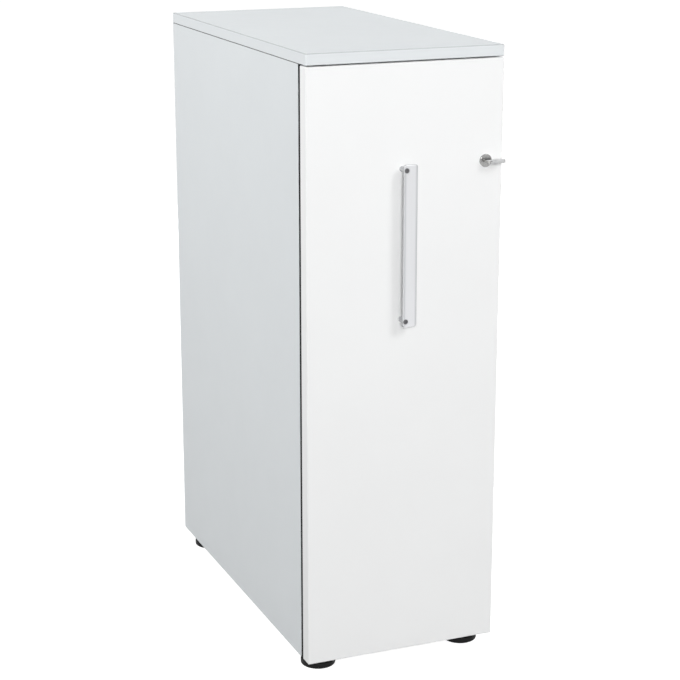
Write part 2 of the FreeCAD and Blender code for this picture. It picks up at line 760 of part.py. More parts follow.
def top_frame():
    edge = UPRIGHT_X + FRAME_SHEET
    plate = box(-edge, edge, Y_IN, Y_FRAME, Z_FRAME, Z_FRAME + FRAME_SHEET)
    flange = box(UPRIGHT_X, edge, Y_IN, Y_FRAME, Z_FRAME - FRAME_FLANGE, Z_FRAME + FRAME_SHEET)
    middle = (Y_IN + Y_FRAME) / 2
    holes = [window(Y_IN + WINDOW_END, middle - WINDOW_END / 4),
             window(middle + WINDOW_END / 4, Y_FRAME - WINDOW_END),
             rod(guide_point(Z_FRAME), AXIS_Z, PIN_R, FRAME_SHEET)]
    return joined([plate] + pair([flange])).cut(holes + frame_bolt_bores())


# Top guide
def guide_point(z):
    return V(0, Y_FRAME - ROLLER_END, z)


ROLLER_R = RAIL_W / 2 - RAIL_T - ROLLER_PLAY
Z_ROLLER = Z_TOP - RAIL_H + RAIL_T


def rail_screw_points():
    span = Y_BACK - Y_SIDE
    ys = [Y_SIDE + span * (i + 0.5) / RAIL_SCREWS for i in range(RAIL_SCREWS)]
    return [V(0, y, Z_TOP - RAIL_T) for y in ys]


def guide_rail():
    y0 = Y_SIDE + RAIL_END
    y1 = Y_BACK - RAIL_END
    half = RAIL_W / 2
    bar = box(-half, half, y0, y1, Z_TOP - RAIL_H, Z_TOP)
    groove = box(RAIL_T - half, half - RAIL_T, y0, y1, Z_TOP - RAIL_H, Z_TOP - RAIL_T)
    holes = [csk_hole(p, AXIS_Z, RAIL_T, SCREW_L) for p in rail_screw_points()]
    return bar.cut([groove] + holes)


def guide_pin():
    plate = Z_FRAME + FRAME_SHEET
    head_z = Z_ROLLER + ROLLER_H + ROLLER_PLAY
    stud = rod(guide_point(Z_FRAME - NUT_T), AXIS_Z, PIN_R, head_z - Z_FRAME + NUT_T)
    collar = rod(guide_point(plate), AXIS_Z, PIN_COLLAR_R, Z_ROLLER - ROLLER_PLAY - plate)
    head = rod(guide_point(head_z), AXIS_Z, PIN_COLLAR_R, PIN_HEAD_T)
    nut = hex_nut(guide_point(Z_FRAME), -AXIS_Z, HEX_AF, NUT_T, PIN_R)
    return Part.makeCompound([joined([stud, collar, head]), nut])


def guide_roller():
    wheel = rod(guide_point(Z_ROLLER), AXIS_Z, ROLLER_R, ROLLER_H)
    wheel = wheel.makeFillet(ROLLER_EDGE_R, [e for e in wheel.Edges if e.Curve.TypeId == "Part::GeomCircle"])
    return wheel.cut(rod(guide_point(Z_ROLLER), AXIS_Z, PIN_R + PIN_PLAY, ROLLER_H))


# Carcass panels
def seal_barb():
    x = X_IN + SIDE_T / 2
    return box(x - BARB_W / 2, x + BARB_W / 2, Y_SIDE, Y_SIDE + BARB_D, FOOT_H + BAND_R, Z_TOP - BAND_R)


def seal():
    strip = box(X_IN + SEAL_IN, WIDTH / 2 - SEAL_IN, Y_SIDE - SEAL_T, Y_SIDE,
                FOOT_H + BAND_R, Z_TOP - BAND_R)
    corners = [e for e in strip.Edges if abs(e.tangentAt(0).z) > 0.5 and e.CenterOfMass.y < Y_SIDE]
    return joined([strip.makeFillet(BARB_W, corners), seal_barb()])


def side_panel(right):
    panel = box(X_IN, WIDTH / 2, Y_SIDE, Y_REAR, FOOT_H, Z_TOP)
    panel = eased(panel, BAND_R / 2)
    tools = [csk_hole(p, AXIS_X, RUN_SHEET, SCREW_L) for p in outer_screw_points()]
    tools.append(seal_barb())
    if right:
        tools += [csk_hole(p, AXIS_X, STRIKE_T, SCREW_L) for p in strike_points()]
        tools += [strike_seat(), strike_slot(X_IN, X_IN + MORTISE_D)]
    tools += [thread_bore(f) for f in panel_fittings() if f[1].z == 0]
    tools += [make(f) for f in panel_fittings() if f[1].z != 0 for make in (cam_seat, bolt_bore)]
    panel = panel.cut(tools + panel_dowels())
    return panel if right else mirrored(panel)


def top_panel():
    panel = eased(box(-WIDTH / 2, WIDTH / 2, Y_FACE, Y_REAR, Z_TOP, HEIGHT), BAND_R)
    tools = [thread_bore(f) for f in panel_fittings() if f[1].z != 0]
    tools += [csk_hole(p, AXIS_Z, RAIL_T, SCREW_L) for p in rail_screw_points()]
    return panel.cut(tools + panel_dowels())


def base_panel():
    panel = eased(box(-X_IN, X_IN, Y_SIDE, Y_BACK, FOOT_H, Z_BASE), BAND_R / 2)
    places = [f for f in panel_fittings() if f[2] == AXIS_Z]
    tools = [make(f) for f in places for make in (cam_seat, bolt_bore)]
    tools += [socket_seat(c) for c in foot_centres().values()]
    return panel.cut(tools + panel_dowels() + ballast_holes())


def ballast_points():
    xs = (BALLAST_EDGE - BALLAST_HALF, BALLAST_HALF - BALLAST_EDGE)
    ys = (Y_BACK - BALLAST_L + BALLAST_EDGE, Y_BACK - BALLAST_EDGE)
    return [V(x, y, Z_BASE + BALLAST_T) for x in xs for y in ys]


def ballast_holes():
    return [csk_hole(p, -AXIS_Z, SCREW_HEAD_T, BALLAST_T + SCREW_L) for p in ballast_points()]


def ballast_plate():
    plate = box(-BALLAST_HALF, BALLAST_HALF, Y_BACK - BALLAST_L, Y_BACK, Z_BASE, Z_BASE + BALLAST_T)
    return plate.cut(ballast_holes())


def back_panel():
    panel = eased(box(-X_IN, X_IN, Y_BACK, Y_REAR, FOOT_H, Z_TOP), BAND_R / 2)
    places = [f for f in panel_fittings() if f[2] == AXIS_Y]
    tools = [make(f) for f in places for make in (cam_seat, bolt_bore)]
    return panel.cut(tools + panel_dowels())


def save(name, shape):
    if isinstance(shape, list):
        shape = Part.makeCompound(shape)
    shape.exportStep("parts/" + name + ".step")


def save_sides(name, shape):
    save("left_" + name, mirrored(shape))
    save("right_" + name, shape)


def save_carcass():
    save("top_panel", top_panel())
    save("left_side_panel", side_panel(False))
    save("right_side_panel", side_panel(True))
    save("base_panel", base_panel())
    save("back_panel", back_panel())
    save_sides("seal", seal())
    save("cam_housings", [cam_housing(f) for f in panel_fittings()])
    save("cam_bolts", [cam_bolt(f) for f in panel_fittings()])
    save("dowels", panel_dowels())
    save("foot_sockets", [foot_socket(c) for c in foot_centres().values()])
    save("guide_rail", guide_rail())
    save("guide_rail_screws", [csk_screw(p, AXIS_Z, RAIL_T, SCREW_L) for p in rail_screw_points()])
    save("strike_plate", strike_plate())
    save("strike_screws", [csk_screw(p, AXIS_X, STRIKE_T, SCREW_L) for p in strike_points()])
    save("ballast_plate", ballast_plate())
    save("ballast_screws", [csk_screw(p, -AXIS_Z, SCREW_HEAD_T, BALLAST_T + SCREW_L)
                            for p in ballast_points()])
    for name, centre in foot_centres().items():
        save(name + "_foot", foot(centre))


def save_runners():
    save_sides("runner_outer", runner_outer())
    save_sides("runner_middle", runner_middle())
    save_sides("runner_inner", runner_inner())
    save_sides("outer_cage", outer_cage())
    save_sides("inner_cage", inner_cage())
    save("runner_outer_screws", pair([csk_screw(p, AXIS_X, RUN_SHEET, SCREW_L)
                                      for p in outer_screw_points()]))
    save("runner_inner_screws", pair([pan_screw(p, AXIS_X, inner_screw_l())
                                      for p in inner_screw_points()]))


def save_pullout():
    save("drawer_front", drawer_front())
    save("handle_bar", handle_bar())
    save("handle_posts", handle_posts())
    save("handle_screws", handle_screws())
    save("base_tray", base_tray())
    for level, name in enumerate(("lower", "middle", "upper"), 1):
        save(name + "_shelf", shelf(level))
    for end in ("front", "rear"):
        post = upright(end)
        save(end + "_left_upright", mirrored(post))
        save(end + "_right_upright", post)
    save("top_frame", top_frame())
    save("guard_rails", guard_rails())
    save("shelf_clips", shelf_clips())
    save("frame_bolts", frame_bolts())
    save("front_screws", [pan_screw(p, -AXIS_Y, SCREW_L) for p in front_screw_points()])
    save("guide_pin", guide_pin())
    save("guide_roller", guide_roller())


def save_lock():
    save("lock_housing", lock_housing())
    save("lock_nut", lock_nut())
    save("lock_plug", lock_plug())
    save("lock_cam", lock_cam())
    save("cam_screw", cam_screw())
    save("key_blade", key_blade())
    save("key_pin", key_pin())
    save("key_bow", key_bow())


os.makedirs("parts", exist_ok=True)
save_carcass()
save_runners()
save_pullout()
save_lock()
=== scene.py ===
import json
import math

import bmesh
import bpy
from mathutils import Matrix, Vector


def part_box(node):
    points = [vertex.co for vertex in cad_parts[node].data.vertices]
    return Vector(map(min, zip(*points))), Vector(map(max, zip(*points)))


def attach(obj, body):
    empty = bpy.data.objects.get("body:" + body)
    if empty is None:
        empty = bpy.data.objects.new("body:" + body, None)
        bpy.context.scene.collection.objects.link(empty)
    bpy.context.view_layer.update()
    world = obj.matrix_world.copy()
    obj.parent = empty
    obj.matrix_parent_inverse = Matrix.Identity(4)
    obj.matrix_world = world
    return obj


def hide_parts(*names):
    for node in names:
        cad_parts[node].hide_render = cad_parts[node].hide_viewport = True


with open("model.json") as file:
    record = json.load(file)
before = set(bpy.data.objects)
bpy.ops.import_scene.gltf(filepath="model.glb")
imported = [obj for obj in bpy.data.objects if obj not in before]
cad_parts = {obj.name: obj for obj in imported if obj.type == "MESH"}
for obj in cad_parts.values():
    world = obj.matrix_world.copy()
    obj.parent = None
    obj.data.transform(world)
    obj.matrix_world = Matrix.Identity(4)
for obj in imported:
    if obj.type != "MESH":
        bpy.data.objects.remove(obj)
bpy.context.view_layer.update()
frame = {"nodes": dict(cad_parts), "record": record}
NODES = frame["nodes"]
SCENE = bpy.context.scene

MM = 0.001

# Most of a noise texture's values lie between these two.
NOISE_LOW = 0.3
NOISE_HIGH = 0.7

# The colour sockets of Blender's Mix node, which has one set for each kind of data.
MIX_FACTOR = 0
MIX_PLAIN = 6
MIX_MARKED = 7
MIX_RESULT = 2

# Camera: the front turned to the right, seen from a little above the top panel.
CAMERA_AT = (-1.4015, -3.4915, 1.6283)
CAMERA_YAW = 22.23
CAMERA_PITCH = 15.72
CAMERA_LENS = 97.75

# Studio: a bright ring of wall, a dimmer ceiling and soft boxes round the object.
WALL_LIGHT = 0.6
CEILING_LIGHT = 0.09
FLOOR_BOUNCE = 0.2
FLOOR_WHITE = 0.92
FLOOR_SHADOW = 0.42
FLOOR_SIZE = 40.0
AIM_HEIGHT = 0.8
OPEN_SPREAD = 180.0
KEY_LAMP_AT = (4.6, -7.2, 7.4)
KEY_LAMP_SIZE = 3.7
KEY_LAMP_POWER = 280.0
LEFT_AT = (-3.0, 0.2, 2.7)
LEFT_SIZE = 1.8
LEFT_POWER = 67.0
FRONT_AT = (-3.6, -11.5, 4.6)
FRONT_SIZE = 4.2
FRONT_POWER = 142.0
FRONT_SPREAD = 60.0
FRONT_AIM_HEIGHT = 3.0
REAR_AT = (3.2, 1.0, 2.6)
REAR_SIZE = 1.8
REAR_POWER = 56.0
BACK_AT = (0.9, 4.2, 0.75)
BACK_SIZE = 0.9
BACK_POWER = 50.0

# Board facings and their glued edge bands.
CARCASS_GREY = (0.715, 0.745, 0.76)
FRONT_WHITE = (0.875, 0.88, 0.88)
BAND_T = 1.0 * MM
SEAM_W = 0.25 * MM
SEAM_SHADE = 0.72
BAND_SHADE = 0.985
BOARD_PEARL = 0.9 * MM
BOARD_PEARL_DEPTH = 0.012 * MM
BOARD_PEARL_SHADE = 0.97
BOARD_PEARL_SHARE = 0.6
BOARD_CLOUD = 160 * MM
BOARD_CLOUD_SHADE = 0.985
BOARD_SHEEN_SIZE = 35 * MM
BOARD_ROUGH = (0.58, 0.68)

# Eased edges: painted shade in the groove where the top panel rests on the others, darkened as if in
# shadow, and a darker tone on its own upper arris.
EASED_IN = 1.5 * MM
GROOVE_H = 0.75 * MM
PAINTED_GROOVE_SHADE = 0.2
ARRIS_H = 1.5 * MM
ARRIS_SHADE = 0.68

# Tones and gloss of the other finishes.
# The seal is black rubber. Its near-black tone also stands in for the shade in the gap between the
# carcass and the front, as painted shade.
SEAL_BLACK_AND_GAP_SHADE = (0.009, 0.009, 0.01)
SEAL_GLOSS = 0.12
HANDLE_SILVER = (0.625, 0.63, 0.645)
# Painted shade on the handle: darker copies of its silver on the rolled edges and on the sides stand in
# for their shading. The flat face, the roll and where the sides begin set where it falls.
HANDLE_EDGE_SHADE = (0.46, 0.465, 0.48)
HANDLE_SIDE_SHADE = (0.55, 0.555, 0.565)
HANDLE_FLAT = 8.2 * MM
HANDLE_ROLL = 3.6 * MM
HANDLE_SIDE_AT = 13.2 * MM
LOCK_SILVER = (0.35, 0.35, 0.345)
ZINC_SILVER = (0.6, 0.61, 0.62)
BLACK_OXIDE = (0.15, 0.15, 0.155)
KEY_SILVER = (0.5, 0.49, 0.465)
KEY_GREY = (0.55, 0.555, 0.56)
FOOT_BLACK = (0.008, 0.008, 0.0085)
FOOT_GLOSS = 0.12
RUNNER_SILVER = (0.58, 0.59, 0.6)
FRAME_GREY = (0.72, 0.735, 0.745)
RAIL_SILVER = (0.74, 0.745, 0.75)
NYLON_WHITE = (0.78, 0.77, 0.73)
NYLON_GLOW = 0.15
CAM_SILVER = (0.5, 0.5, 0.5)
DOWEL_TAN = (0.6, 0.42, 0.24)
BALLAST_GREY = (0.06, 0.062, 0.066)

# Lowest and highest roughness of the other finishes.
HANDLE_ROUGH = (0.32, 0.42)
LOCK_ROUGH = (0.16, 0.3)
ZINC_ROUGH = (0.28, 0.42)
OXIDE_ROUGH = (0.35, 0.5)
KEY_ROUGH = (0.26, 0.4)
RUNNER_ROUGH = (0.3, 0.44)
GUARD_ROUGH = (0.14, 0.24)
RAIL_ROUGH = (0.32, 0.46)
CAM_ROUGH = (0.4, 0.55)
PAINT_ROUGH = (0.44, 0.54)
PLASTIC_ROUGH = (0.42, 0.58)
NYLON_ROUGH = (0.3, 0.42)
RUBBER_ROUGH = (0.7, 0.85)
WOOD_ROUGH = (0.55, 0.75)

# Brushed lines: width, length over width, darkest tone, relief and patches of haze.
BRUSH_LINE = 0.25 * MM
BRUSH_STRETCH = 120.0
BRUSH_SHADE = 0.94
BRUSH_DEPTH = 0.004 * MM
BRUSH_HAZE = 6 * MM
HANDLE_LINE = 0.3 * MM
HANDLE_STRETCH = 900.0
HANDLE_SHADE = 0.95
HANDLE_HAZE = 3 * MM
HANDLE_HAZE_STRETCH = 60.0

# Turned rings and plated flakes.
RING_W = 0.35 * MM
RING_SHADE = 0.86
RING_DEPTH = 0.006 * MM
RING_HAZE = 3 * MM
ZINC_FLAKE = 2.5 * MM
OXIDE_FLAKE = 1.0 * MM
CAM_FLAKE = 1.2 * MM
FLAKE_SHADE = 0.9
FLAKE_HAZE = 8 * MM
FLAKE_PIT = 0.6 * MM
FLAKE_PIT_DEPTH = 0.005 * MM

# Powder paint, moulded plastic, rubber and wood.
PEEL_SIZE = 1.1 * MM
PEEL_DEPTH = 0.03 * MM
PEEL_FINE = 0.35 * MM
PEEL_FINE_DEPTH = 0.006 * MM
PAINT_CLOUD = 60 * MM
PAINT_SHADE = 0.985
PAINT_HAZE = 4 * MM
PLASTIC_CLOUD = 12 * MM
PLASTIC_SHADE = 0.85
PLASTIC_HAZE = 5 * MM
PLASTIC_GRAIN = 0.3 * MM
PLASTIC_GRAIN_DEPTH = 0.012 * MM
RUBBER_LINE = 0.5 * MM
RUBBER_STRETCH = 60.0
RUBBER_DEPTH = 0.02 * MM
RUBBER_CLOUD = 20 * MM
RUBBER_BLOOM = 1.8
WOOD_GRAIN = 0.5 * MM
WOOD_STRETCH = 14.0
WOOD_SHADE = 0.7
WOOD_DEPTH = 0.03 * MM

# Pieces that only show on the finished object.
FOOT_RIBS = 16
RIB_IN = 15.0 * MM
RIB_OUT = 30.0 * MM
RIB_W = 2.2 * MM
RIB_TOP_W = 1.4 * MM
RIB_H = 0.9 * MM
RIB_END_H = 0.45 * MM
PAD_TOP = 14.0 * MM
PIECE_BEVEL = 0.3 * MM
BEVEL_STEPS = 2
KEY_CUTS = 4
KEY_CUT_PITCH = 3.6 * MM
KEY_CUT_FLAT = 0.9 * MM
KEY_TIP_SLOPE = 2.2 * MM
KEY_TIP_SHARE = 0.3
KEY_CUT_LEAST = 0.18
KEY_CUT_STEP = 0.11
KEY_CUT_DEPTHS = 3
KEY_EYE_STEPS = 20
KEY_BEVEL = 0.12 * MM
LEVER_L = 46.0 * MM
LEVER_HALF = 4.2 * MM
LEVER_T = 2.6 * MM
LEVER_FROM_FRONT = 210.0 * MM
LEVER_TIP = 0.6
LEVER_NECK = 0.45
LEVER_TIP_END = 0.12
LEVER_HEAD_END = 0.42
LEVER_NECK_START = 0.5
LEVER_LIFT = 2.2 * MM


class Shader:
    """One procedural material: a Principled shader and the textures that feed it."""

    def __init__(self, name, **constants):
        self.material = bpy.data.materials.new(name)
        self.material.use_nodes = True
        self.tree = self.material.node_tree
        self.surface = self.tree.nodes["Principled BSDF"].inputs
        self.place = self.add("ShaderNodeTexCoord").outputs["Object"]
        self.normal = None
        for socket, value in constants.items():
            self.surface[socket.replace("_", " ")].default_value = value

    def add(self, kind, **settings):
        node = self.tree.nodes.new(kind)
        for name, value in settings.items():
            setattr(node, name, value)
        return node

    def feed(self, socket, value):
        """Links a socket's output, or writes a plain value."""
        if isinstance(value, bpy.types.NodeSocket):
            self.tree.links.new(value, socket)
        else:
            socket.default_value = value

    def math(self, operation, *values):
        node = self.add("ShaderNodeMath", operation=operation)
        for socket, value in zip(node.inputs, values):
            self.feed(socket, value)
        return node.outputs[0]

    def vector(self, operation, output, *values):
        node = self.add("ShaderNodeVectorMath", operation=operation)
        for socket, value in zip(node.inputs, values):
            self.feed(socket, value)
        return node.outputs[output]

    def axes(self, point):
        node = self.add("ShaderNodeSeparateXYZ")
        self.feed(node.inputs[0], point)
        return list(node.outputs)

    def noise(self, size, stretch=(1.0, 1.0, 1.0), detail=2.0):
        """Noise whose patches are about size metres wide, and longer along a stretched axis."""
        scale = [1.0 / (size * s) for s in stretch]
        scaled = self.vector("MULTIPLY", "Vector", self.place, scale)
        node = self.add("ShaderNodeTexNoise")
        self.feed(node.inputs["Vector"], scaled)
        node.inputs["Scale"].default_value = 1.0
        node.inputs["Detail"].default_value = detail
        return node.outputs[0]

    def cells(self, size):
        """A random value for each flake of a crystalline surface."""
        node = self.add("ShaderNodeTexVoronoi")
        self.feed(node.inputs["Vector"], self.place)
        node.inputs["Scale"].default_value = 1.0 / size
        return self.axes(node.outputs["Color"])[0]

    def spread(self, source, low, high, start=NOISE_LOW, end=NOISE_HIGH):
        """The source's middle range, mapped to low and high."""
        node = self.add("ShaderNodeMapRange")
        self.feed(node.inputs["Value"], source)
        node.inputs["From Min"].default_value = start
        node.inputs["From Max"].default_value = end
        node.inputs["To Min"].default_value = low
        node.inputs["To Max"].default_value = high
        return node.outputs[0]

    def ramp(self, source, dark, light, start=NOISE_LOW, end=NOISE_HIGH):
        """The source's middle range, as colours from dark to light."""
        node = self.add("ShaderNodeValToRGB")
        self.feed(node.inputs["Fac"], source)
        first, last = node.color_ramp.elements
        first.position = start
        first.color = (*dark, 1.0)
        last.position = end
        last.color = (*light, 1.0)
        return node.outputs["Color"]

    def mix(self, factor, plain, marked, blend="MIX"):
        node = self.add("ShaderNodeMix", data_type="RGBA", blend_type=blend)
        self.feed(node.inputs[MIX_FACTOR], factor)
        self.feed(node.inputs[MIX_PLAIN], plain)
        self.feed(node.inputs[MIX_MARKED], marked)
        return node.outputs[MIX_RESULT]

    def colour(self, source):
        self.feed(self.surface["Base Color"], source)

    def rough(self, source, low, high):
        self.feed(self.surface["Roughness"], self.spread(source, low, high))

    def bump(self, source, depth):
        """Adds a relief of that depth to the ones already there."""
        node = self.add("ShaderNodeBump")
        node.inputs["Distance"].default_value = depth
        self.feed(node.inputs["Height"], source)
        if self.normal:
            self.feed(node.inputs["Normal"], self.normal)
        self.normal = node.outputs[0]
        self.feed(self.surface["Normal"], self.normal)


def shade(colour, factor):
    return tuple(c * factor for c in colour)


def edge_distance(shader, node):
    """Distance from a panel's nearest glued edge, measured in the plane of its facing."""
    low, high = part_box(node)
    size = high - low
    thin = min(range(3), key=lambda axis: size[axis])
    point = shader.axes(shader.place)
    found = []
    for axis in range(3):
        if axis == thin:
            continue
        from_middle = shader.math("SUBTRACT", point[axis], (low[axis] + high[axis]) / 2)
        from_middle = shader.math("ABSOLUTE", from_middle)
        found.append(shader.math("SUBTRACT", size[axis] / 2, from_middle))
    return shader.math("MINIMUM", *found)


def eased_line(shader, distance, height, reach):
    """1 on the eased edges of a panel within reach of that height."""
    beside = shader.math("COMPARE", shader.axes(shader.place)[2], height, reach)
    outside = shader.math("LESS_THAN", distance, EASED_IN)
    return shader.math("MINIMUM", beside, outside)


def board(node, colour):
    """Faced board: a pearl-fine satin facing, seamed edge bands, painted shade in the groove under the
    top panel, and a darker tone on its upper arris.
    """
    s = Shader(f"{node}_board")
    clouds = s.noise(BOARD_CLOUD, detail=3.0)
    pearl = s.noise(BOARD_PEARL)
    facing = s.ramp(clouds, shade(colour, BOARD_CLOUD_SHADE), colour)
    white = (1.0, 1.0, 1.0)
    grain = s.ramp(pearl, shade(white, BOARD_PEARL_SHADE), white)
    facing = s.mix(BOARD_PEARL_SHARE, facing, grain, "MULTIPLY")
    distance = edge_distance(s, node)
    band = s.math("LESS_THAN", distance, BAND_T)
    facing = s.mix(band, facing, (*shade(colour, BAND_SHADE), 1.0))
    seam = s.math("COMPARE", distance, BAND_T, SEAM_W / 2)
    facing = s.mix(seam, facing, (*shade(colour, SEAM_SHADE), 1.0))
    low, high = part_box("top_panel")
    # Painted shade: the eased edges at the top panel's underside are darkened like the shadow in the
    # groove between the panels.
    painted_groove_shade = eased_line(s, distance, low.z, GROOVE_H)
    facing = s.mix(painted_groove_shade, facing, (*shade(colour, PAINTED_GROOVE_SHADE), 1.0))
    arris = eased_line(s, distance, high.z, ARRIS_H)
    facing = s.mix(arris, facing, (*shade(colour, ARRIS_SHADE), 1.0))
    s.colour(facing)
    s.rough(s.noise(BOARD_SHEEN_SIZE, detail=4.0), *BOARD_ROUGH)
    s.bump(pearl, BOARD_PEARL_DEPTH)
    return s.material


def brushed(name, colour, rough):
    """Drawn or brushed metal: fine lines from front to back, with a faint change of tone."""
    s = Shader(name, Metallic=1.0)
    stretch = (1.0, BRUSH_STRETCH, 1.0)
    lines = s.noise(BRUSH_LINE, stretch, detail=3.0)
    s.colour(s.ramp(lines, shade(colour, BRUSH_SHADE), colour))
    s.rough(s.noise(BRUSH_HAZE, stretch), *rough)
    s.bump(lines, BRUSH_DEPTH)
    return s.material


def handle_finish(name):
    """Satin silver: lines along the bar, with painted shade on its rolled edges and a second painted
    shade on its sides.
    """
    s = Shader(name, Metallic=1.0)
    lines = s.noise(HANDLE_LINE, (1.0, 1.0, HANDLE_STRETCH), detail=3.0)
    from_middle = s.math("ABSOLUTE", s.axes(s.place)[0])
    # Painted shade: the silver darkens across the rolled edges and the sides, as light falls off round
    # the bar.
    edge = s.spread(from_middle, 0.0, 1.0, HANDLE_FLAT, HANDLE_FLAT + HANDLE_ROLL)
    flat = s.ramp(lines, shade(HANDLE_SILVER, HANDLE_SHADE), HANDLE_SILVER)
    rolled = s.mix(edge, flat, (*HANDLE_EDGE_SHADE, 1.0))
    side = s.math("GREATER_THAN", from_middle, HANDLE_SIDE_AT)
    s.colour(s.mix(side, rolled, (*HANDLE_SIDE_SHADE, 1.0)))
    s.rough(s.noise(HANDLE_HAZE, (1.0, 1.0, HANDLE_HAZE_STRETCH)), *HANDLE_ROUGH)
    s.bump(lines, BRUSH_DEPTH)
    return s.material


def turned(name, colour, centre, rough):
    """Plated metal with the fine rings that turning leaves about its axis."""
    s = Shader(name, Metallic=1.0)
    arm = s.vector("SUBTRACT", "Vector", s.place, centre)
    arm = s.vector("MULTIPLY", "Vector", arm, (1.0, 0.0, 1.0))
    radius = s.vector("LENGTH", "Value", arm)
    node = s.add("ShaderNodeTexNoise", noise_dimensions="1D")
    s.feed(node.inputs["W"], s.math("MULTIPLY", radius, 1.0 / RING_W))
    node.inputs["Scale"].default_value = 1.0
    rings = node.outputs[0]
    s.colour(s.ramp(rings, shade(colour, RING_SHADE), colour))
    s.rough(s.noise(RING_HAZE), *rough)
    s.bump(rings, RING_DEPTH)
    return s.material


def plated(name, colour, flake, rough):
    """Plated or blackened steel: flakes that differ a little in tone, and a soft haze."""
    s = Shader(name, Metallic=1.0)
    flakes = s.cells(flake)
    s.colour(s.ramp(flakes, shade(colour, FLAKE_SHADE), colour, 0.0, 1.0))
    s.rough(s.noise(FLAKE_HAZE, detail=3.0), *rough)
    s.bump(s.noise(FLAKE_PIT), FLAKE_PIT_DEPTH)
    return s.material


def powder_coat(name, colour):
    """Baked powder paint: a coarse and a fine orange peel, and a faint drift of tone."""
    s = Shader(name)
    peel = s.noise(PEEL_SIZE)
    s.colour(s.ramp(s.noise(PAINT_CLOUD, detail=3.0), shade(colour, PAINT_SHADE), colour))
    s.rough(s.noise(PAINT_HAZE, detail=4.0), *PAINT_ROUGH)
    s.bump(peel, PEEL_DEPTH)
    s.bump(s.noise(PEEL_FINE), PEEL_FINE_DEPTH)
    return s.material


def moulded(name, colour, rough, **constants):
    """Moulded plastic with a fine spark-eroded grain and slight scuffs."""
    s = Shader(name, **constants)
    s.colour(s.ramp(s.noise(PLASTIC_CLOUD, detail=4.0), shade(colour, PLASTIC_SHADE), colour))
    s.rough(s.noise(PLASTIC_HAZE, detail=4.0), *rough)
    s.bump(s.noise(PLASTIC_GRAIN), PLASTIC_GRAIN_DEPTH)
    return s.material


def rubber(name, colour):
    """Extruded rubber: drawn along its length, dull, with a dusty bloom."""
    s = Shader(name, Specular_IOR_Level=SEAL_GLOSS)
    drawn = s.noise(RUBBER_LINE, (1.0, 1.0, RUBBER_STRETCH))
    s.colour(s.ramp(s.noise(RUBBER_CLOUD, detail=4.0), colour, shade(colour, RUBBER_BLOOM)))
    s.rough(drawn, *RUBBER_ROUGH)
    s.bump(drawn, RUBBER_DEPTH)
    return s.material


def wood(name, colour):
    """Beech: grain along the dowels."""
    s = Shader(name)
    grain = s.noise(WOOD_GRAIN, (WOOD_STRETCH, WOOD_STRETCH, 1.0), detail=4.0)
    s.colour(s.ramp(grain, shade(colour, WOOD_SHADE), colour))
    s.rough(grain, *WOOD_ROUGH)
    s.bump(grain, WOOD_DEPTH)
    return s.material


def finishes():
    """The material of each slot in the record, apart from the boards, which have one per panel."""
    low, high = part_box("lock_housing")
    lock_axis = (low + high) / 2
    return {
        # Black rubber seal, its tone also painted shade for the gap between carcass and front.
        "seal_rubber": rubber("seal_rubber", SEAL_BLACK_AND_GAP_SHADE),
        "handle_aluminium": handle_finish("handle_aluminium"),
        "lock_nickel": turned("lock_nickel", LOCK_SILVER, lock_axis, LOCK_ROUGH),
        "zinc_steel": plated("zinc_steel", ZINC_SILVER, ZINC_FLAKE, ZINC_ROUGH),
        "black_steel": plated("black_steel", BLACK_OXIDE, OXIDE_FLAKE, OXIDE_ROUGH),
        "key_steel": brushed("key_steel", KEY_SILVER, KEY_ROUGH),
        "key_plastic": moulded("key_plastic", KEY_GREY, PLASTIC_ROUGH),
        "foot_plastic": moulded("foot_plastic", FOOT_BLACK, PLASTIC_ROUGH, Specular_IOR_Level=FOOT_GLOSS),
        "runner_steel": brushed("runner_steel", RUNNER_SILVER, RUNNER_ROUGH),
        "frame_paint": powder_coat("frame_paint", FRAME_GREY),
        "guard_steel": brushed("guard_steel", ZINC_SILVER, GUARD_ROUGH),
        "rail_aluminium": brushed("rail_aluminium", RAIL_SILVER, RAIL_ROUGH),
        "roller_nylon": moulded("roller_nylon", NYLON_WHITE, NYLON_ROUGH, Subsurface_Weight=NYLON_GLOW),
        "cam_zinc": plated("cam_zinc", CAM_SILVER, CAM_FLAKE, CAM_ROUGH),
        "dowel_wood": wood("dowel_wood", DOWEL_TAN),
        "ballast_steel": powder_coat("ballast_steel", BALLAST_GREY),
    }


def paint(obj, material):
    obj.data.materials.clear()
    obj.data.materials.append(material)


def paint_nodes(made):
    """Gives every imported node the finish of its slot."""
    boards = {"carcass_board": CARCASS_GREY, "front_board": FRONT_WHITE}
    for part in frame["record"]["subparts"]:
        node = part["node"]
        slot = part["material_slot"]
        if slot in boards:
            paint(NODES[node], board(node, boards[slot]))
        else:
            paint(NODES[node], made[slot])


def piece(name, mesh_code, body, material):
    """A mesh made by mesh_code, with its edges eased, that rides on a body."""
    bm = bmesh.new()
    mesh_code(bm)
    bmesh.ops.recalc_face_normals(bm, faces=bm.faces)
    mesh = bpy.data.meshes.new(name)
    bm.to_mesh(mesh)
    bm.free()
    obj = bpy.data.objects.new(name, mesh)
    SCENE.collection.objects.link(obj)
    bevel = obj.modifiers.new("edges", "BEVEL")
    bevel.width = PIECE_BEVEL
    bevel.segments = BEVEL_STEPS
    bevel.limit_method = "ANGLE"
    bevel.harden_normals = True
    for polygon in mesh.polygons:
        polygon.use_smooth = True
    paint(obj, material)
    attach(obj, body)
    return obj


def prism(bm, outline, lift):
    """A closed outline of points, carried along lift."""
    base = [bm.verts.new(p) for p in outline]
    top = [bm.verts.new(Vector(p) + Vector(lift)) for p in outline]
    bm.faces.new(base)
    bm.faces.new(top)
    for i in range(len(outline)):
        j = (i + 1) % len(outline)
        bm.faces.new((base[i], base[j], top[j], top[i]))


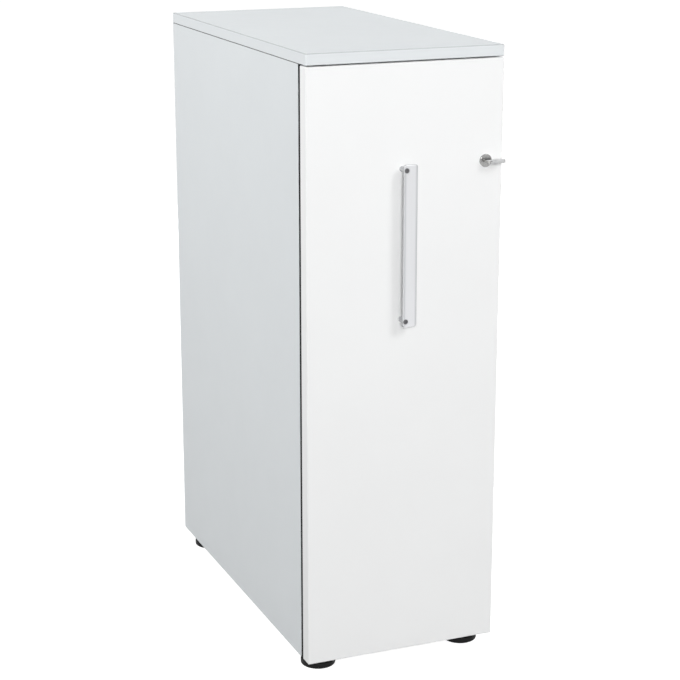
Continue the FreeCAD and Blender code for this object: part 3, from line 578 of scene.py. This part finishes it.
def rib(bm, turn):
    """One tapered rib on a foot's pad, highest at the neck."""
    corners = []
    for radius, height in ((RIB_IN, RIB_H), (RIB_OUT, RIB_END_H)):
        for width, z in ((RIB_W, 0.0), (RIB_TOP_W, height)):
            for side in (-0.5, 0.5):
                corners.append(bm.verts.new(turn @ Vector((radius, side * width, z))))
    in_low_a, in_low_b, in_top_a, in_top_b, out_low_a, out_low_b, out_top_a, out_top_b = corners
    bm.faces.new((in_low_a, in_low_b, in_top_b, in_top_a))
    bm.faces.new((out_low_a, out_low_b, out_top_b, out_top_a))
    bm.faces.new((in_low_a, in_low_b, out_low_b, out_low_a))
    bm.faces.new((in_top_a, in_top_b, out_top_b, out_top_a))
    bm.faces.new((in_low_a, in_top_a, out_top_a, out_low_a))
    bm.faces.new((in_low_b, in_top_b, out_top_b, out_low_b))


def foot_ribs(node, material):
    """The ring of ribs on a glide, by which it is turned."""
    low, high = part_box(node)
    middle = (low + high) / 2
    seat = Matrix.Translation((middle.x, middle.y, PAD_TOP))

    def ring(bm):
        for i in range(FOOT_RIBS):
            rib(bm, seat @ Matrix.Rotation(2 * math.pi * i / FOOT_RIBS, 4, "Z"))

    piece(f"{node}_ribs", ring, node, material)


def key_edge(side, low, high):
    """Points along one edge of the blade, from the eye to the tip, with its bitting cuts."""
    middle = (low.x + high.x) / 2
    half = (high.x - low.x) / 2
    first = high.y - KEY_TIP_SLOPE - KEY_CUTS * KEY_CUT_PITCH
    points = [(middle + side * half, first)]
    for i in range(KEY_CUTS):
        start = first + i * KEY_CUT_PITCH
        level = (2 * i + (side > 0)) % KEY_CUT_DEPTHS
        depth = half * (KEY_CUT_LEAST + KEY_CUT_STEP * level)
        centre = start + KEY_CUT_PITCH / 2
        points.append((middle + side * half, start + KEY_CUT_FLAT / 2))
        points.append((middle + side * (half - depth), centre - KEY_CUT_FLAT / 2))
        points.append((middle + side * (half - depth), centre + KEY_CUT_FLAT / 2))
        points.append((middle + side * half, start + KEY_CUT_PITCH - KEY_CUT_FLAT / 2))
    points.append((middle + side * half, high.y - KEY_TIP_SLOPE))
    points.append((middle + side * half * KEY_TIP_SHARE, high.y))
    return points


def cut_key(material):
    """The key's blade with cuts in both edges and a round eye at the fold."""
    low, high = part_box("key_blade")
    middle = (low.x + high.x) / 2
    half = (high.x - low.x) / 2
    eye = []
    for i in range(KEY_EYE_STEPS + 1):
        angle = math.pi * (1 + i / KEY_EYE_STEPS)
        eye.append((middle + half * math.cos(angle), low.y + half + half * math.sin(angle)))
    outline = eye + key_edge(1, low, high) + key_edge(-1, low, high)[::-1]
    points = [(x, y, low.z) for x, y in outline]

    def blade(bm):
        prism(bm, points, (0.0, 0.0, high.z - low.z))

    made = piece("cut_key_blade", blade, "key", material)
    made.modifiers["edges"].width = KEY_BEVEL
    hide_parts("key_blade")


def runner_lever(side, material):
    """The tongue inside a runner's inner member that frees the pull-out from its rails."""
    low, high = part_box(f"{side}_runner_inner")
    z = (low.z + high.z) / 2
    start = low.y + LEVER_FROM_FRONT
    outward = -1 if side == "left" else 1
    face = high.x if side == "left" else low.x
    x = face + outward * LEVER_LIFT
    head = [(0.0, LEVER_TIP), (LEVER_TIP_END, 1.0), (LEVER_HEAD_END, 1.0)]
    neck = [(LEVER_NECK_START, LEVER_NECK), (1.0, LEVER_NECK)]
    outline = []
    for along, half in head + neck:
        outline.append((x, start + along * LEVER_L, z + half * LEVER_HALF))
    outline += [(px, py, 2 * z - pz) for px, py, pz in outline[::-1]]

    def tongue(bm):
        prism(bm, outline, (outward * LEVER_T, 0.0, 0.0))

    piece(f"{side}_runner_lever", tongue, "pullout", material)


def soft_box(name, at, size, power, aim_height=AIM_HEIGHT, spread=OPEN_SPREAD):
    """A square lamp that faces the object. One with a small spread has a grid, and fades off its aim."""
    lamp = bpy.data.lights.new(name, "AREA")
    lamp.shape = "SQUARE"
    lamp.size = size
    lamp.energy = power
    lamp.spread = math.radians(spread)
    obj = bpy.data.objects.new(name, lamp)
    obj.location = at
    beam = Vector((0.0, 0.0, aim_height)) - Vector(at)
    obj.rotation_euler = beam.to_track_quat("-Z", "Y").to_euler()
    SCENE.collection.objects.link(obj)


def seen_directly(tree):
    """1 for rays that show the studio itself: to the camera, in gloss, and through glass."""
    path = tree.nodes.new("ShaderNodeLightPath")
    found = path.outputs["Is Camera Ray"]
    for name in ("Is Glossy Ray", "Is Transmission Ray"):
        either = tree.nodes.new("ShaderNodeMath")
        either.operation = "MAXIMUM"
        tree.links.new(found, either.inputs[0])
        tree.links.new(path.outputs[name], either.inputs[1])
        found = either.outputs[0]
    return found


def studio_world():
    """White where it is seen, and a plain light that is dimmer overhead."""
    world = bpy.data.worlds.new("studio")
    world.use_nodes = True
    SCENE.world = world
    tree = world.node_tree
    tree.nodes.clear()
    place = tree.nodes.new("ShaderNodeTexCoord")
    axes = tree.nodes.new("ShaderNodeSeparateXYZ")
    tree.links.new(place.outputs["Generated"], axes.inputs[0])
    height = tree.nodes.new("ShaderNodeMapRange")
    height.inputs["To Min"].default_value = WALL_LIGHT
    height.inputs["To Max"].default_value = CEILING_LIGHT
    tree.links.new(axes.outputs[2], height.inputs["Value"])
    lit = tree.nodes.new("ShaderNodeBackground")
    tree.links.new(height.outputs[0], lit.inputs["Strength"])
    white = tree.nodes.new("ShaderNodeBackground")
    for node in (lit, white):
        node.inputs["Color"].default_value = (1.0, 1.0, 1.0, 1.0)
    either = tree.nodes.new("ShaderNodeMixShader")
    tree.links.new(seen_directly(tree), either.inputs[0])
    tree.links.new(lit.outputs[0], either.inputs[1])
    tree.links.new(white.outputs[0], either.inputs[2])
    out = tree.nodes.new("ShaderNodeOutputWorld")
    tree.links.new(either.outputs[0], out.inputs["Surface"])


def floor_material():
    """A pale floor that bounces light, and is seen white with the object's shadow on it."""
    material = bpy.data.materials.new("studio_floor")
    material.use_nodes = True
    tree = material.node_tree
    tree.nodes.clear()
    bounce = tree.nodes.new("ShaderNodeBsdfDiffuse")
    bounce.inputs["Color"].default_value = (FLOOR_BOUNCE, FLOOR_BOUNCE, FLOOR_BOUNCE, 1.0)
    shadowed = tree.nodes.new("ShaderNodeBsdfDiffuse")
    shadowed.inputs["Color"].default_value = (FLOOR_SHADOW, FLOOR_SHADOW, FLOOR_SHADOW, 1.0)
    white = tree.nodes.new("ShaderNodeEmission")
    white.inputs["Strength"].default_value = FLOOR_WHITE
    seen = tree.nodes.new("ShaderNodeAddShader")
    tree.links.new(shadowed.outputs[0], seen.inputs[0])
    tree.links.new(white.outputs[0], seen.inputs[1])
    either = tree.nodes.new("ShaderNodeMixShader")
    tree.links.new(seen_directly(tree), either.inputs[0])
    tree.links.new(bounce.outputs[0], either.inputs[1])
    tree.links.new(seen.outputs[0], either.inputs[2])
    out = tree.nodes.new("ShaderNodeOutputMaterial")
    tree.links.new(either.outputs[0], out.inputs["Surface"])
    return material


def studio_floor():
    mesh = bpy.data.meshes.new("studio_floor")
    half = FLOOR_SIZE / 2
    corners = [(-half, -half, 0.0), (half, -half, 0.0), (half, half, 0.0), (-half, half, 0.0)]
    mesh.from_pydata(corners, [], [(0, 1, 2, 3)])
    floor = bpy.data.objects.new("studio_floor", mesh)
    SCENE.collection.objects.link(floor)
    paint(floor, floor_material())


def camera():
    data = bpy.data.cameras.new("camera")
    data.lens = CAMERA_LENS
    obj = bpy.data.objects.new("camera", data)
    obj.location = CAMERA_AT
    obj.rotation_euler = (math.radians(90.0 - CAMERA_PITCH), 0.0, math.radians(-CAMERA_YAW))
    SCENE.collection.objects.link(obj)
    SCENE.camera = obj


def studio():
    SCENE.view_settings.view_transform = "Standard"
    studio_world()
    studio_floor()
    soft_box("key_light", KEY_LAMP_AT, KEY_LAMP_SIZE, KEY_LAMP_POWER)
    soft_box("left_light", LEFT_AT, LEFT_SIZE, LEFT_POWER)
    soft_box("front_light", FRONT_AT, FRONT_SIZE, FRONT_POWER, FRONT_AIM_HEIGHT, FRONT_SPREAD)
    soft_box("rear_light", REAR_AT, REAR_SIZE, REAR_POWER)
    soft_box("back_light", BACK_AT, BACK_SIZE, BACK_POWER)
    camera()


def details(made):
    for end in ("front", "back"):
        for side in ("left", "right"):
            foot_ribs(f"{end}_{side}_foot", made["foot_plastic"])
    for side in ("left", "right"):
        runner_lever(side, made["foot_plastic"])
    cut_key(made["key_steel"])


made = finishes()
paint_nodes(made)
details(made)
studio()
